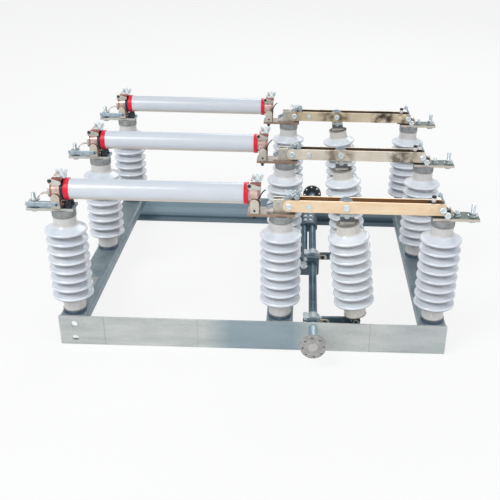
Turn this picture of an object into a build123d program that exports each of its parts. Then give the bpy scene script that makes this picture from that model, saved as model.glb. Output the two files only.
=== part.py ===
from build123d import *
import os
from math import atan2, cos, degrees, hypot, radians, sin

# Indoor three-phase fuse disconnector on a low steel frame, in millimetres.
# X runs from the fuse end to the contact end, Y from the front channel to the rear one, Z is up.
# The origin is the middle of the plane that the frame stands on.

# Driving sizes of the frame
frame_length = 1050.0
frame_depth = 892.0
channel_height = 90.0
channel_foot = 29.0
channel_wall = 5.0
cross_width = 72.0
cross_height = 28.0
cross_wall = 4.0
bend_radius = 3.0
fixing_hole_radius = 8.5
fixing_hole_inset = 41.0
fixing_hole_z_upper = 67.0
fixing_hole_z_lower = 23.0

# Where the posts stand
phase_pitch = 405.0
post_inset = 37.0
hinge_post_x = 72.5
phase_names = ("front", "middle", "rear")

# Post insulators
post_height = 300.0
neck_radius = 29.5
core_radius = 35.0
shed_radius = 54.5
shed_thickness = 11.0
shed_count = 8
shed_pitch = 26.5
shed_slope_rise = 8.0
top_shed_height = 240.0
base_radius = 31.5
base_height = 10.0
cap_radius = 31.0
cap_height = 18.0
cap_lip = 2.0

# Fuse link, a tube with two contact ferrules
fuse_length = 537.0
fuse_end_inset = 52.9
fuse_axis_rise = 53.0
fuse_tube_radius = 26.5
fuse_band_radius = 28.5
fuse_band_width = 15.0
fuse_ferrule_radius = 22.5
fuse_ferrule_length = 33.0

# Fuse clips
clip_width = 30.0
clip_wall = 3.0
clip_gap = 0.3
clip_bend = 4.0
clip_squeeze = 3.0
clip_lip = 4.0
clip_lip_rise = 28.0
strap_width = 25.0
strap_wall = 4.0
cover_wall = 4.0
cover_overhang = 8.0
clip_screw_radius = 3.5
clip_screw_rise = 20.0

# Flat bars that lie on the caps
bar_wall = 7.0
bar_width = 50.0
terminal_reach = 88.5
inner_bar_reach = 32.6
hinge_bar_reach = 36.5
terminal_hole_radius = 6.5
terminal_hole_inset = 15.0

# Hinge, blades and fixed contact
pivot_rise = 27.0
hinge_pin_offset = 19.5
hinge_pin_radius = 6.0
blade_height = 31.0
blade_wall = 5.0
blade_spread = 36.0
blade_corner = 4.0
blade_tip_offset = 1.0
hinge_plate_wall = 5.0
hinge_plate_start = 20.5
side_gap = 0.4
spacer_bolt_offset = 50.5
spacer_bolt_radius = 4.5
bolt_head_radius = 8.5
bolt_head_height = 6.0
tip_bolt_inset = 7.0
tip_bolt_radius = 5.0
jaw_start_inset = 41.0
jaw_end_offset = 18.0
jaw_wall = 5.0
link_start_inset = 32.5
link_start_rise = 12.0
link_end_offset = 39.5
link_end_rise = 48.0
link_wall = 3.0
link_height = 9.0
link_spread = 13.0
link_pin_inset = 6.5
link_pin_radius = 4.0
link_block_length = 26.0

# Shaft, cranks and insulated rods
shaft_offset = 72.0
shaft_drop = 15.5
shaft_radius = 12.0
shaft_clearance = 0.05
shaft_overhang = 97.0
disc_radius = 34.0
disc_wall = 8.0
disc_hole_radius = 3.3
disc_hole_circle = 27.5
disc_hole_count = 8
disc_first_hole = 5.5
crank_length = 117.0
crank_end_rise = 4.0
crank_wall = 8.0
crank_height = 24.0
crank_slot_inward = 5.0
crank_slot_outward = 2.4
crank_slot_play = 2.3
crank_slot_rim = 3.0
clamp_radius = 20.0
clamp_width = 30.0
clamp_ear_height = 32.0
rod_pin_offset = 145.5
rod_pin_radius = 6.0
crank_pin_radius = 5.0
rod_body_length = 271.0
rod_neck_to_pin = 22.0
fork_width = 22.0
fork_wall = 5.0
fork_gap = 2.0
fork_crown_gap = 5.5
yoke_wall = 4.0
yoke_top_width = 34.0
yoke_foot_width = 38.0
yoke_disc_radius = 19.0
yoke_disc_wall = 3.0
pin_clearance = 0.05

# Second tube, clamped beside the shaft and turning with it
side_tube_offset = 27.5
side_tube_radius = 11.0
side_tube_wall = 3.0
side_tube_start_y = -52.0
side_tube_end_y = 335.0
end_plate_wall = 8.0
end_plate_rise = 24.0
end_plate_drop = 38.0
end_boss_radius = 14.0
end_boss_wall = 6.0
rear_clamp_length = 110.0
rear_clamp_wall = 5.0

# Bare plates on the left and right cross channels
plate_length = 62.0
plate_width = 38.0
plate_wall = 1.5
plate_y = -278.0

# Places that follow from the sizes above
half_length = frame_length / 2
half_depth = frame_depth / 2
fuse_post_x = post_inset - half_length
contact_post_x = half_length - post_inset
phase_ys = (-phase_pitch, 0.0, phase_pitch)
cap_top = channel_height + post_height
bar_top = cap_top + bar_wall
fuse_axis_z = cap_top + fuse_axis_rise
fuse_end_x = hinge_post_x - fuse_end_inset
fuse_start_x = fuse_end_x - fuse_length
outer_bar_end_x = fuse_post_x - terminal_reach
inner_bar_end_x = fuse_end_x - inner_bar_reach
hinge_bar_end_x = hinge_post_x + hinge_bar_reach
contact_bar_end_x = contact_post_x + terminal_reach
outer_clip_x = fuse_start_x + fuse_ferrule_length / 2
inner_clip_x = fuse_end_x - fuse_ferrule_length / 2
pivot_z = cap_top + pivot_rise
hinge_pin_x = hinge_post_x + hinge_pin_offset
hinge_plate_start_x = hinge_post_x - hinge_plate_start
link_start_x = hinge_post_x - link_start_inset
link_pin_x = hinge_post_x - link_pin_inset
link_end_x = hinge_post_x + link_end_offset
spacer_bolt_x = hinge_pin_x + spacer_bolt_offset
rod_pin_x = hinge_pin_x + rod_pin_offset
shaft_x = hinge_pin_x + shaft_offset
blade_tip_x = contact_post_x + blade_tip_offset
tip_bolt_x = blade_tip_x - tip_bolt_inset
jaw_start_x = contact_post_x - jaw_start_inset
jaw_end_x = contact_post_x + jaw_end_offset
blade_outer = blade_spread / 2
blade_inner = blade_outer - blade_wall
shaft_z = channel_height - shaft_drop
crank_pin_x = shaft_x + crank_length
crank_pin_z = shaft_z + crank_end_rise
rod_length = hypot(rod_pin_x - crank_pin_x, pivot_z - crank_pin_z)
rod_lean = degrees(atan2(rod_pin_x - crank_pin_x, pivot_z - crank_pin_z))


def block(x0, x1, y0, y1, z0, z1):
    """A square-edged block between two corners."""
    return Pos((x0 + x1) / 2, (y0 + y1) / 2, (z0 + z1) / 2) * Box(abs(x1 - x0), abs(y1 - y0), abs(z1 - z0))


def bar_along_y(x, z, radius, y0, y1):
    """A round bar with its axis along Y."""
    return Pos(x, (y0 + y1) / 2, z) * Rot(90, 0, 0) * Cylinder(radius, abs(y1 - y0))


def bar_along_x(y, z, radius, x0, x1):
    """A round bar with its axis along X."""
    return Pos((x0 + x1) / 2, y, z) * Rot(0, 90, 0) * Cylinder(radius, abs(x1 - x0))


def bar_along_z(x, y, radius, z0, z1):
    """A round bar that stands upright."""
    return Pos(x, y, (z0 + z1) / 2) * Cylinder(radius, abs(z1 - z0))


def front_plane(y):
    """The plane of a front view, whose extrusions run back to y."""
    return Plane(origin=(0, y, 0), x_dir=(1, 0, 0), z_dir=(0, -1, 0))


def side_plane(x):
    """The plane of a side view, whose extrusions run on from x."""
    return Plane(origin=(x, 0, 0), x_dir=(0, 1, 0), z_dir=(1, 0, 0))


def plate_in_front_view(face, y0, y1):
    """A face drawn in X and Z, given its thickness between two values of Y."""
    return extrude(front_plane(y1) * face, y1 - y0)


def plate_in_side_view(face, x0, x1):
    """A face drawn in Y and Z, given its length between two values of X."""
    return extrude(side_plane(x0) * face, x1 - x0)


def bent_strip(points, wall, radius):
    """The section of a bent sheet whose middle line runs through the points."""
    return trace(FilletPolyline(*points, radius=radius), wall)


def hull_of_circles(x0, z0, r0, x1, z1, r1):
    """The outline of a bar with a round end about each of two points."""
    return make_hull((Pos(x0, z0) * Circle(r0) + Pos(x1, z1) * Circle(r1)).edges())


def save(name, *solids):
    """Write the solids of one node."""
    shape = solids[0] if len(solids) == 1 else Compound(children=list(solids))
    export_step(shape, "parts/" + name + ".step")


def outer_channel(side):
    """A long channel of the frame: an outward web and a foot turned inward, side is -1 in front."""
    outer = side * half_depth
    middle = outer - side * channel_wall / 2
    toe = outer - side * channel_foot
    foot = channel_wall / 2
    path = [(middle, channel_height), (middle, foot), (toe, foot)]
    section = bent_strip(path, channel_wall, bend_radius + channel_wall / 2)
    channel = plate_in_side_view(section, -half_length, half_length)
    for z in (fixing_hole_z_upper, fixing_hole_z_lower):
        hole_x = fixing_hole_inset - half_length
        channel -= bar_along_y(hole_x, z, fixing_hole_radius, outer - 20, outer + 20)
    return channel - bar_along_y(shaft_x, shaft_z, shaft_radius + shaft_clearance, outer - 20, outer + 20)


def cross_channel(x):
    """A shallow channel with its web on top that carries three posts, let in between the long ones."""
    reach = half_depth - channel_wall
    middle = cross_width / 2 - cross_wall / 2
    top = channel_height - cross_wall / 2
    skirt = channel_height - cross_height
    path = [(-middle, skirt), (-middle, top), (middle, top), (middle, skirt)]
    section = bent_strip(path, cross_wall, bend_radius + cross_wall / 2)
    plane = Plane(origin=(x, reach, 0), x_dir=(1, 0, 0), z_dir=(0, -1, 0))
    return extrude(plane * section, 2 * reach)


def shed_edges(middle_z):
    """One shed's sloped top, round rim and underside, from the top down."""
    half = shed_thickness / 2
    rim = shed_radius - half
    top_in = (core_radius, middle_z + half + shed_slope_rise)
    top_out = (rim, middle_z + half)
    low_out = (rim, middle_z - half)
    low_in = (core_radius, middle_z - half + shed_slope_rise / 3)
    return [
        Line(top_in, top_out),
        ThreePointArc(top_out, (shed_radius, middle_z), low_out),
        Line(low_out, low_in),
    ]


def ribbed_body(height, top_shed):
    """A porcelain body that stands on z = 0, with plain necks and its first shed at a given height."""
    slope = shed_thickness / 2 + shed_slope_rise
    neck_step = core_radius - neck_radius
    high_neck = top_shed + slope + neck_step
    low_shed = top_shed - (shed_count - 1) * shed_pitch
    edges = [
        Line((0, 0), (0, height)),
        Line((0, height), (neck_radius, height)),
        Line((neck_radius, height), (neck_radius, high_neck)),
        Line((neck_radius, high_neck), (core_radius, top_shed + slope)),
    ]
    for index in range(shed_count):
        middle_z = top_shed - index * shed_pitch
        if index > 0:
            edges.append(Line(edges[-1] @ 1, (core_radius, middle_z + slope)))
        edges.extend(shed_edges(middle_z))
    low_neck = low_shed - slope
    edges.append(Line(edges[-1] @ 1, (neck_radius, low_neck)))
    edges.append(Line((neck_radius, low_neck), (neck_radius, 0)))
    edges.append(Line((neck_radius, 0), (0, 0)))
    return revolve(Plane.XZ * make_face(Curve() + edges), Axis.Z)


def post_parts(x, y):
    """One post's base ring, porcelain and metal cap."""
    foot = Pos(x, y, channel_height)
    base = foot * Pos(0, 0, base_height / 2) * Cylinder(base_radius, base_height)
    body_height = post_height - base_height - cap_height
    body = foot * Pos(0, 0, base_height) * ribbed_body(body_height, top_shed_height - base_height)
    cap = foot * Pos(0, 0, post_height - cap_height / 2) * Cylinder(cap_radius, cap_height)
    cap = fillet(cap.edges().group_by(Axis.Z)[0], cap_lip)
    return base, body, cap


def fuse_parts(y):
    """One fuse link's tube, its two coloured end bands and its two ferrules."""
    tube_start = fuse_start_x + fuse_ferrule_length
    tube_end = fuse_end_x - fuse_ferrule_length
    left_band_end = tube_start + fuse_band_width
    right_band_start = tube_end - fuse_band_width
    tube = bar_along_x(y, fuse_axis_z, fuse_tube_radius, left_band_end, right_band_start)
    bands = [
        bar_along_x(y, fuse_axis_z, fuse_band_radius, tube_start, left_band_end),
        bar_along_x(y, fuse_axis_z, fuse_band_radius, right_band_start, tube_end),
    ]
    ferrules = [
        bar_along_x(y, fuse_axis_z, fuse_ferrule_radius, fuse_start_x, tube_start),
        bar_along_x(y, fuse_axis_z, fuse_ferrule_radius, tube_end, fuse_end_x),
    ]
    return tube, bands, ferrules


def clip_jaw(x, y):
    """The tinned spring strip that grips a ferrule from both sides, with lips that flare at the top."""
    side = fuse_ferrule_radius + clip_gap + clip_wall / 2
    foot = bar_top + clip_wall / 2
    grip = fuse_axis_z + 3
    pinch = side - clip_squeeze
    pinch_z = (grip + fuse_axis_z + clip_lip_rise) / 2
    right = [(side, foot), (side, grip), (pinch, pinch_z), (side + clip_lip, fuse_axis_z + clip_lip_rise)]
    left = [(-across, z) for across, z in reversed(right)]
    section = bent_strip(left + right, clip_wall, clip_bend)
    return Pos(0, y, 0) * plate_in_side_view(section, x - clip_width / 2, x + clip_width / 2)


def clip_straps(x, y):
    """The two flat backing straps outside the jaw, each with a round top."""
    inner = fuse_ferrule_radius + clip_gap + clip_wall
    top = fuse_axis_z - strap_width / 2 + 6
    outline = make_hull(
        (
            Pos(x, top - strap_width / 2) * Circle(strap_width / 2)
            + Pos(x, bar_top + strap_width / 4) * Rectangle(strap_width, strap_width / 2)
        ).edges()
    )
    straps = []
    for side in (-1, 1):
        edge = y + side * (inner + strap_wall / 2)
        straps.append(plate_in_front_view(outline, edge - strap_wall / 2, edge + strap_wall / 2))
    return straps


def clip_cover(x, y):
    """The ribbed copper bar across the top of a clip, with its screw."""
    span = fuse_ferrule_radius + clip_wall + clip_lip + cover_overhang
    low = fuse_axis_z + clip_lip_rise + clip_wall / 2 + 0.2
    half_width = clip_width / 2
    half_span = span / 2 + cover_overhang
    cover = block(x - half_width, x + half_width, y - half_span, y + half_span, low, low + cover_wall)
    screw = bar_along_z(x, y, clip_screw_radius, low + cover_wall, low + cover_wall + clip_screw_rise)
    return cover + screw


def cap_bar(x0, x1, y, holes):
    """A flat bar on a cap, with bolt holes at the given places along it."""
    bar = block(x0, x1, y - bar_width / 2, y + bar_width / 2, cap_top, bar_top)
    for x in holes:
        bar -= bar_along_z(x, y, terminal_hole_radius, cap_top - 1, bar_top + 1)
    return bar


def link_height_at(x):
    """The height of the sloping links' middle line at a given x."""
    share = (x - link_start_x) / (link_end_x - link_start_x)
    return bar_top + link_start_rise + share * (link_end_rise - link_start_rise)


def hinge_plates(y):
    """Two upright plates on one foot, between the blades, that carry the hinge pin."""
    start = hinge_plate_start_x
    outline = make_hull(
        (
            Pos(hinge_pin_x, pivot_z) * Circle(blade_height / 2)
            + Pos(start + 1, pivot_z) * Rectangle(2, blade_height)
            + Pos((start + hinge_pin_x) / 2, bar_top + 1) * Rectangle(hinge_pin_x - start, 2)
        ).edges()
    )
    outer = blade_inner - side_gap
    plates = plate_in_front_view(outline, y - outer, y + outer)
    inner = outer - hinge_plate_wall
    reach = hinge_pin_x + blade_height
    top = pivot_z + blade_height
    plates -= block(start - 1, reach, y - inner, y + inner, bar_top + hinge_plate_wall, top)
    low_y = y - outer - 1
    high_y = y + outer + 1
    plates -= bar_along_y(link_pin_x, link_height_at(link_pin_x), link_pin_radius, low_y, high_y)
    return plates - bar_along_y(hinge_pin_x, pivot_z, hinge_pin_radius + pin_clearance, low_y, high_y)


def hinge_links(y):
    """Two slim links that slope up between the hinge plates, with their pin and a block near their top."""
    low_z = link_height_at(link_start_x)
    high_z = link_height_at(link_end_x)
    outline = hull_of_circles(link_start_x, low_z, link_height / 2, link_end_x, high_z, link_height / 2)
    outer = link_spread / 2
    links = plate_in_front_view(outline, y - outer, y + outer)
    inner = outer - link_wall
    first_x = link_start_x - link_height
    last_x = link_end_x + link_height
    links -= block(first_x, last_x, y - inner, y + inner, bar_top, high_z + link_height)
    pin_reach = blade_inner - side_gap
    pin = bar_along_y(link_pin_x, link_height_at(link_pin_x), link_pin_radius, y - pin_reach, y + pin_reach)
    slope = degrees(atan2(high_z - low_z, link_end_x - link_start_x))
    spacer_x = link_end_x - link_block_length
    spacer = Rot(0, -slope, 0) * Box(link_block_length, 2 * inner, link_height)
    spacer = Pos(spacer_x, y, link_height_at(spacer_x)) * spacer
    return links + pin + spacer


def blade_parts(y):
    """A pair of flat blades and the bolts that hold them together."""
    tip_corners = Pos(blade_tip_x - blade_corner, pivot_z) * Rectangle(2 * blade_corner, blade_height)
    tip_corners = fillet(tip_corners.vertices(), blade_corner)
    outline = make_hull((Pos(hinge_pin_x, pivot_z) * Circle(blade_height / 2) + tip_corners).edges())
    bars = []
    for side in (-1, 1):
        edge = y + side * (blade_outer - blade_wall / 2)
        bar = plate_in_front_view(outline, edge - blade_wall / 2, edge + blade_wall / 2)
        for x, radius in blade_holes:
            bar -= bar_along_y(x, pivot_z, radius + pin_clearance, edge - blade_wall, edge + blade_wall)
        bars.append(bar)
    pins = []
    for x, radius in blade_holes:
        pin = bar_along_y(x, pivot_z, radius, y - blade_outer, y + blade_outer)
        for side in (-1, 1):
            face = y + side * blade_outer
            pin += bar_along_y(x, pivot_z, bolt_head_radius, face, face + side * bolt_head_height)
        pins.append(pin)
    return bars, pins


def fixed_contact(y):
    """The contact that the blades close over: two cheeks on a foot, notched for the tip bolt."""
    outer = blade_inner - side_gap
    top = pivot_z + blade_height / 2 - 1
    cheeks = block(jaw_start_x, jaw_end_x, y - outer, y + outer, bar_top, top)
    slot = outer - jaw_wall
    cheeks -= block(jaw_start_x - 1, jaw_end_x + 1, y - slot, y + slot, bar_top + 6, top + 1)
    notch_start = tip_bolt_x - tip_bolt_radius - 12
    return cheeks - block(notch_start, jaw_end_x + 1, y - outer - 1, y + outer + 1, pivot_z - 10, top + 1)


def flange_disc(side):
    """A coupling disc on the shaft's end, drilled with a ring of holes."""
    outer = side * (half_depth + shaft_overhang)
    back = outer - side * 2 * disc_wall
    front = outer + side * disc_wall
    disc = bar_along_y(shaft_x, shaft_z, disc_radius, outer - side * disc_wall, outer)
    disc -= bar_along_y(shaft_x, shaft_z, shaft_radius, back, front)
    for index in range(disc_hole_count):
        angle = radians(disc_first_hole + 360 * index / disc_hole_count)
        x = shaft_x + disc_hole_circle * cos(angle)
        z = shaft_z + disc_hole_circle * sin(angle)
        disc -= bar_along_y(x, z, disc_hole_radius, back, front)
    return disc


def crank(y):
    """A flat crank with a long slot for the rod's pin, and the clamp that grips the shaft."""
    end = crank_slot_outward
    slot_radius = crank_pin_radius + crank_slot_play
    lean = degrees(atan2(crank_end_rise, crank_length))
    reach = hypot(crank_length, crank_end_rise)
    ear = clamp_ear_height / 2
    arm = hull_of_circles(0, 0, crank_height / 2, reach + end, 0, slot_radius + crank_slot_rim)
    slot = hull_of_circles(reach - crank_slot_inward, 0, slot_radius, reach + end, 0, slot_radius)
    flat = Pos(shaft_x, shaft_z) * Rot(0, 0, lean) * (arm - slot)
    bar = plate_in_front_view(flat, y - crank_wall / 2, y + crank_wall / 2)
    half = clamp_width / 2
    hub = bar_along_y(shaft_x, shaft_z, clamp_radius, y - half, y + half)
    hub += block(shaft_x - side_tube_offset, shaft_x, y - half, y + half, shaft_z - ear, shaft_z + ear)
    hub -= bar_along_y(shaft_x - side_tube_offset, shaft_z, side_tube_radius, y - half, y + half)
    return (bar + hub) - bar_along_y(shaft_x, shaft_z, shaft_radius, y - clamp_width, y + clamp_width)


def rod_frame(y):
    """The rod's own frame: its origin on the crank pin and its Z axis toward the blade pin."""
    return Pos(crank_pin_x, y, crank_pin_z) * Rot(0, rod_lean, 0)


def rod_parts(y):
    """One insulated rod: porcelain, the fork round the crank below and the yoke in the blades above."""
    frame = rod_frame(y)
    body_top = rod_neck_to_pin + rod_body_length
    top_shed = rod_body_length - (post_height - top_shed_height - cap_height)
    body = frame * Pos(0, 0, rod_neck_to_pin) * ribbed_body(rod_body_length, top_shed)
    return body, frame * fork_solid(), frame * yoke_solid(body_top)


def fork_solid():
    """The lower fork, with its pin, drawn about the crank pin."""
    half_gap = crank_wall / 2 + fork_gap
    outer = half_gap + fork_wall
    low = fork_width / 2
    fork = block(-low, low, -outer, outer, 0, rod_neck_to_pin) + bar_along_y(0, 0, low, -outer, outer)
    crown = crank_slot_rim + crank_pin_radius + crank_slot_play + fork_crown_gap
    fork -= block(-fork_width, fork_width, -half_gap, half_gap, -fork_width, crown)
    return fork + bar_along_y(0, 0, crank_pin_radius, -outer - 4, outer + 4)


def yoke_solid(body_top):
    """The upper yoke: a foot on the porcelain and two tapered cheeks round the blade pin."""
    outer = blade_inner - side_gap - yoke_disc_wall
    profile = make_hull(
        (
            Pos(0, rod_length) * Circle(yoke_top_width / 2)
            + Pos(0, body_top + 0.5) * Rectangle(yoke_foot_width, 1)
        ).edges()
    )
    yoke = plate_in_front_view(profile, -outer, outer)
    inner = outer - yoke_wall
    yoke -= block(-yoke_top_width, yoke_top_width, -inner, inner, body_top + 6, rod_length + yoke_top_width)
    for side in (-1, 1):
        yoke += bar_along_y(0, rod_length, yoke_disc_radius, side * outer, side * (outer + yoke_disc_wall))
    reach = blade_inner + 1
    return yoke - bar_along_y(0, rod_length, rod_pin_radius + pin_clearance, -reach, reach)


def side_tube():
    """The plain tube beside the shaft."""
    x = shaft_x - side_tube_offset
    bore = side_tube_radius - side_tube_wall
    tube = bar_along_y(x, shaft_z, side_tube_radius, side_tube_start_y, side_tube_end_y)
    return tube - bar_along_y(x, shaft_z, bore, side_tube_start_y, side_tube_end_y)


def end_plate():
    """The upright plate on the shaft that closes the front end of the side tube, with a round boss."""
    x = shaft_x - side_tube_offset
    back = side_tube_start_y
    front = back - end_plate_wall
    left = x - side_tube_radius - end_plate_wall
    right = shaft_x + shaft_radius + end_plate_wall
    outline = Pos((left + right) / 2, shaft_z + (end_plate_rise - end_plate_drop) / 2)
    outline = outline * RectangleRounded(right - left, end_plate_rise + end_plate_drop, end_plate_wall)
    plate = plate_in_front_view(outline, front, back)
    plate += bar_along_y(x, shaft_z, end_boss_radius, front - end_boss_wall, front)
    return plate - bar_along_y(shaft_x, shaft_z, shaft_radius, front - end_boss_wall, back)


def rear_clamp():
    """The long clamp that holds the side tube's rear end to the shaft."""
    x = shaft_x - side_tube_offset
    tube_side = side_tube_radius + rear_clamp_wall
    shaft_side = shaft_radius + rear_clamp_wall
    outline = hull_of_circles(x, shaft_z, tube_side, shaft_x, shaft_z, shaft_side)
    start = side_tube_end_y - rear_clamp_length
    clamp = plate_in_front_view(outline, start, side_tube_end_y)
    clamp -= bar_along_y(x, shaft_z, side_tube_radius, start, side_tube_end_y)
    return clamp - bar_along_y(shaft_x, shaft_z, shaft_radius, start, side_tube_end_y)


def main():
    """Write every node of the disconnector."""
    os.makedirs("parts", exist_ok=True)
    save("front_channel", outer_channel(-1))
    save("rear_channel", outer_channel(1))
    save("left_cross_channel", cross_channel(fuse_post_x))
    save("middle_cross_channel", cross_channel(hinge_post_x))
    save("right_cross_channel", cross_channel(contact_post_x))
    bases = []
    caps = []
    for kind, x in (("fuse", fuse_post_x), ("hinge", hinge_post_x), ("contact", contact_post_x)):
        for phase, y in zip(phase_names, phase_ys):
            base, body, cap = post_parts(x, y)
            bases.append(base)
            caps.append(cap)
            save(kind + "_insulator_" + phase, body)
    save("insulator_bases", *bases)
    save("insulator_caps", *caps)
    bands = []
    ferrules = []
    for phase, y in zip(phase_names, phase_ys):
        tube, band_pair, ferrule_pair = fuse_parts(y)
        save("fuse_tube_" + phase, tube)
        bands.extend(band_pair)
        ferrules.extend(ferrule_pair)
    save("fuse_end_bands", *bands)
    save("fuse_ferrules", *ferrules)
    clips = [(outer_clip_x, y) for y in phase_ys] + [(inner_clip_x, y) for y in phase_ys]
    save("clip_jaws", *[clip_jaw(x, y) for x, y in clips])
    save("clip_straps", *[strap for x, y in clips for strap in clip_straps(x, y)])
    save("clip_covers", *[clip_cover(x, y) for x, y in clips])
    outer_hole = outer_bar_end_x + terminal_hole_inset
    contact_hole = contact_bar_end_x - terminal_hole_inset
    outer_bar_start = fuse_post_x + cap_radius
    save("outer_terminals", *[cap_bar(outer_bar_end_x, outer_bar_start, y, [outer_hole]) for y in phase_ys])
    save("hinge_bars", *[cap_bar(inner_bar_end_x, hinge_bar_end_x, y, []) for y in phase_ys])
    inner_end = contact_post_x - cap_radius
    save("contact_terminals", *[cap_bar(inner_end, contact_bar_end_x, y, [contact_hole]) for y in phase_ys])
    save("hinge_plates", *[hinge_plates(y) for y in phase_ys])
    save("hinge_links", *[hinge_links(y) for y in phase_ys])
    save("fixed_contacts", *[fixed_contact(y) for y in phase_ys])
    for phase, y in zip(phase_names, phase_ys):
        bars, pins = blade_parts(y)
        save("blade_pair_" + phase, *bars)
        save("blade_bolts_" + phase, *pins)
        body, fork, yoke = rod_parts(y)
        save("rod_insulator_" + phase, body)
        save("rod_fork_" + phase, fork)
        save("rod_yoke_" + phase, yoke)
    reach = half_depth + shaft_overhang
    save("operating_shaft", bar_along_y(shaft_x, shaft_z, shaft_radius, -reach, reach))
    save("shaft_discs", flange_disc(-1), flange_disc(1))
    save("cranks", *[crank(y) for y in phase_ys])
    save("side_tube", side_tube())
    save("side_tube_clamps", end_plate(), rear_clamp())
    for name, x in (("nameplate", fuse_post_x), ("second_plate", contact_post_x)):
        half = plate_width / 2
        top = channel_height + plate_wall
        save(name, block(x - half, x + half, plate_y, plate_y + plate_length, channel_height, top))


blade_holes = (
    (hinge_pin_x, hinge_pin_radius),
    (spacer_bolt_x, spacer_bolt_radius),
    (rod_pin_x, rod_pin_radius),
    (tip_bolt_x, tip_bolt_radius),
)
main()
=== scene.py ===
import math

import bmesh
import bpy
from mathutils import Matrix, Vector


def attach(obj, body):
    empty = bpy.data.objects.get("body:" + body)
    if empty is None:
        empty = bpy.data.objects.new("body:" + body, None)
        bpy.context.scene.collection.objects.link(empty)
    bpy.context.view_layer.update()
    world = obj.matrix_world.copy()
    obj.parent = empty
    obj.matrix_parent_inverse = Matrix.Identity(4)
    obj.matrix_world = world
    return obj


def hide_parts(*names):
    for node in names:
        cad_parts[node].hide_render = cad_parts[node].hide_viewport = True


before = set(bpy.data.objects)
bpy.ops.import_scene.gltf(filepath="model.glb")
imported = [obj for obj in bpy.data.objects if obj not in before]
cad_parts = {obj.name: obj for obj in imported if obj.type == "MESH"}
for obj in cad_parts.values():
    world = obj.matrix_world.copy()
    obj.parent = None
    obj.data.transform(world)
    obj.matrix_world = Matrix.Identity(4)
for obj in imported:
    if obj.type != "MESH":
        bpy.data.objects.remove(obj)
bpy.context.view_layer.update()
mm = 0.001
phaseY = {"front": -405.0, "middle": 0.0, "rear": 405.0}
barTop = 397.0  # top of the flat bars on the caps
pivotZ = 417.0  # height of the blades' middle line
clipX = (-500.9, 3.1)  # middles of the outer and inner fuse clips
surfaces = {}
print("frame:", len(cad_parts), "nodes")


def linearColor(hexCode):
    # sRGB hex to the linear values that the shaders take
    channels = [int(hexCode[i:i + 2], 16) / 255 for i in (0, 2, 4)]
    return [c / 12.92 if c <= 0.04045 else ((c + 0.055) / 1.055) ** 2.4 for c in channels] + [1.0]


def addNode(tree, kind, inputs=None, **settings):
    node = tree.nodes.new(kind)
    for key, value in settings.items():
        setattr(node, key, value)
    for key, value in (inputs or {}).items():
        if isinstance(value, bpy.types.NodeSocket):
            tree.links.new(value, node.inputs[key])
        else:
            node.inputs[key].default_value = value
    return node


def newObject(name, data):
    item = bpy.data.objects.new(name, data)
    bpy.context.scene.collection.objects.link(item)
    return item


# Camera, at the photograph's angle
view = {
    "place": (121.3, -2297.8, 1188.8),  # mm
    "turn": -0.013,  # radians to the right
    "dip": 0.48,  # radians down
    "roll": 0.021,
    "lens": 57.5,
    "shiftX": -0.0786,
    "shiftY": 0.0564,
}
ahead = Vector((
    math.sin(view["turn"]) * math.cos(view["dip"]),
    math.cos(view["turn"]) * math.cos(view["dip"]),
    -math.sin(view["dip"]),
))
level = Vector((math.cos(view["turn"]), -math.sin(view["turn"]), 0.0))
upright = level.cross(ahead)
side = level * math.cos(view["roll"]) + upright * math.sin(view["roll"])
up = upright * math.cos(view["roll"]) - level * math.sin(view["roll"])
cameraData = bpy.data.cameras.new("photoCamera")
cameraData.lens = view["lens"]
cameraData.shift_x = view["shiftX"]
cameraData.shift_y = view["shiftY"]
cameraData.clip_end = 100.0
camera = newObject("photoCamera", cameraData)
turned = Matrix((side, up, -ahead)).transposed().to_4x4()
camera.matrix_world = Matrix.Translation(Vector(view["place"]) * mm) @ turned
bpy.context.scene.camera = camera
print("camera placed")


def clearTree(owner):
    owner.use_nodes = True
    owner.node_tree.nodes.clear()
    return owner.node_tree


# Surfaces
def newSurface(name):
    surfaces[name] = bpy.data.materials.new(name)
    tree = clearTree(surfaces[name])
    return tree, addNode(tree, "ShaderNodeTexCoord").outputs["Object"]


def closeSurface(tree, color, rough, bump, plain):
    # rough: value, its range, and roughness at both ends; bump: height, depth, strength and normal beneath
    roughness = addNode(tree, "ShaderNodeMapRange", dict(enumerate(rough))).outputs["Result"]
    relief = addNode(tree, "ShaderNodeBump", dict(zip(("Height", "Distance", "Strength", "Normal"), bump)))
    shader = addNode(tree, "ShaderNodeBsdfPrincipled", {
        "Base Color": color, "Roughness": roughness, "Normal": relief.outputs["Normal"], **plain,
    })
    addNode(tree, "ShaderNodeOutputMaterial", {"Surface": shader.outputs["BSDF"]})


def layColor(tree, under, hexCode, value, low=0.0, high=1.0, tone=1.0):
    # a colour over another one: nothing where the value is low, up to the tone where it is high
    share = addNode(tree, "ShaderNodeMapRange", {0: value, 1: low, 2: high, 4: tone}).outputs["Result"]
    mix = addNode(tree, "ShaderNodeMix", {0: share, 6: under, 7: linearColor(hexCode)}, data_type="RGBA")
    return mix.outputs[2]


def edgeMask(tree, widthMm):
    # 1 where the surface turns a corner, 0 on the flats
    soft = addNode(tree, "ShaderNodeBevel", {"Radius": widthMm * mm}, samples=6).outputs["Normal"]
    flat = addNode(tree, "ShaderNodeNewGeometry").outputs["Normal"]
    facing = addNode(tree, "ShaderNodeVectorMath", {0: soft, 1: flat}, operation="DOT_PRODUCT")
    mask = addNode(tree, "ShaderNodeMapRange", {0: facing.outputs["Value"], 1: 0.995, 2: 0.86})
    return soft, mask.outputs["Result"]


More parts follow.
